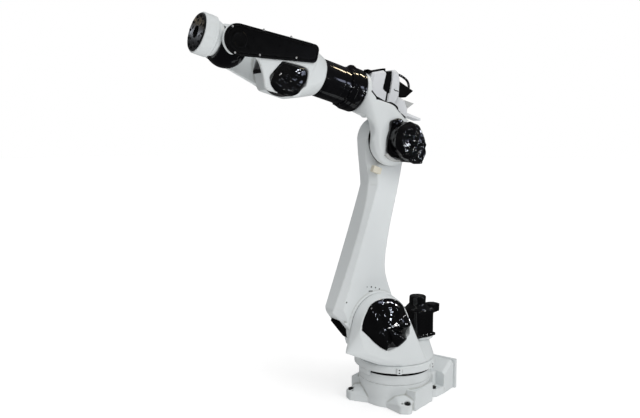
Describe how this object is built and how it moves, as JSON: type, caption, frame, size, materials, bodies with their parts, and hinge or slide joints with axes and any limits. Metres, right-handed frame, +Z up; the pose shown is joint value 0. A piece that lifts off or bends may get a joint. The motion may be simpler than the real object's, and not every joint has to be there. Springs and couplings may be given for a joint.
{
  "type": "industrial robot arm",
  "caption": "Floor-mounted articulated industrial robot arm with a turning base, a swinging lower arm, a forearm that rolls and a forked wrist that ends in a bolted tool flange.",
  "frame": {"origin": "swivel axis at the underside of the feet", "axes": "+Z up along the swivel axis, +X to the front of the base, away from the connector box"},
  "size_m": [1.7654, 0.8548, 2.4057],
  "materials": {
    "casting_white": "smooth gloss paint over cast iron",
    "cover_white": "gloss paint over folded sheet",
    "motor_black": "black gloss enamel",
    "tube_black": "black gloss enamel",
    "belt_cover_black": "moulded black cover",
    "bumper_black": "moulded rubber",
    "cap_black": "matt caps",
    "stop_cream": "cast urethane",
    "bracket_grey": "grey paint",
    "flange_dark": "blackened steel"
  },
  "bodies": {
    "base": {"base_casting": "casting_white", "bearing_ring": "casting_white", "connector_box": "casting_white", "connector_panel": "cover_white", "foot_caps": "cap_black", "swivel_stop": "casting_white"},
    "swivel": {"turntable": "casting_white", "swivel_frame": "casting_white", "stop_lug": "casting_white", "shoulder_motor": "motor_black", "swivel_motor_plate": "cover_white", "swivel_motor": "motor_black", "swivel_motor_plug": "motor_black"},
    "lower_link": {"lower_arm": "casting_white", "shoulder_bumper": "bumper_black", "elbow_stop_block": "stop_cream"},
    "upper_link": {"elbow_casting": "casting_white", "elbow_motor": "motor_black", "elbow_motor_box": "motor_black", "elbow_lip": "bracket_grey", "front_cover": "cover_white", "rear_cover": "cover_white", "cable_strap": "cover_white", "cable_duct": "bumper_black", "cable_box": "motor_black", "rear_bracket": "cover_white", "cover_wedge": "bracket_grey"},
    "forearm_link": {"roll_collar": "tube_black", "forearm_tube": "tube_black", "wrist_yoke": "casting_white", "belt_cover": "belt_cover_black", "far_belt_cover": "belt_cover_black", "bend_motor": "motor_black", "spin_motor": "motor_black"},
    "wrist_link": {"wrist_body": "tube_black", "wrist_neck": "casting_white", "tool_drum": "casting_white"},
    "flange_link": {"tool_flange": "flange_dark"}
  },
  "joints": [
    {"name": "swivel_turn", "type": "hinge", "parent": "base", "child": "swivel", "pos_m": [0, 0, 0], "axis": [0, 0, 1], "range_deg": [-141, 179]},
    {"name": "shoulder_lean", "type": "hinge", "parent": "swivel", "child": "lower_link", "pos_m": [0.23165, -0.07976, 0.56], "axis": [0.3256, 0.9455, 0], "range_deg": [-56.3, 79.7]},
    {"name": "elbow_lift", "type": "hinge", "parent": "lower_link", "child": "upper_link", "pos_m": [0.15996, -0.05508, 1.73255], "axis": [-0.3256, -0.9455, 0], "range_deg": [-68.4, 79.6]},
    {"name": "roll_turn", "type": "hinge", "parent": "upper_link", "child": "forearm_link", "pos_m": [0.10237, -0.03525, 1.97502], "axis": [0.917, -0.3158, 0.2436], "range_deg": [-210, 210]},
    {"name": "bend_swing", "type": "hinge", "parent": "forearm_link", "child": "wrist_link", "pos_m": [1.15696, -0.39837, 2.25518], "axis": [0.3256, 0.9455, 0], "range_deg": [-125, 125]},
    {"name": "spin_turn", "type": "hinge", "parent": "wrist_link", "child": "flange_link", "pos_m": [1.15696, -0.39837, 2.25518], "axis": [0.917, -0.3158, 0.2436], "range_deg": [-210, 210]}
  ]
}
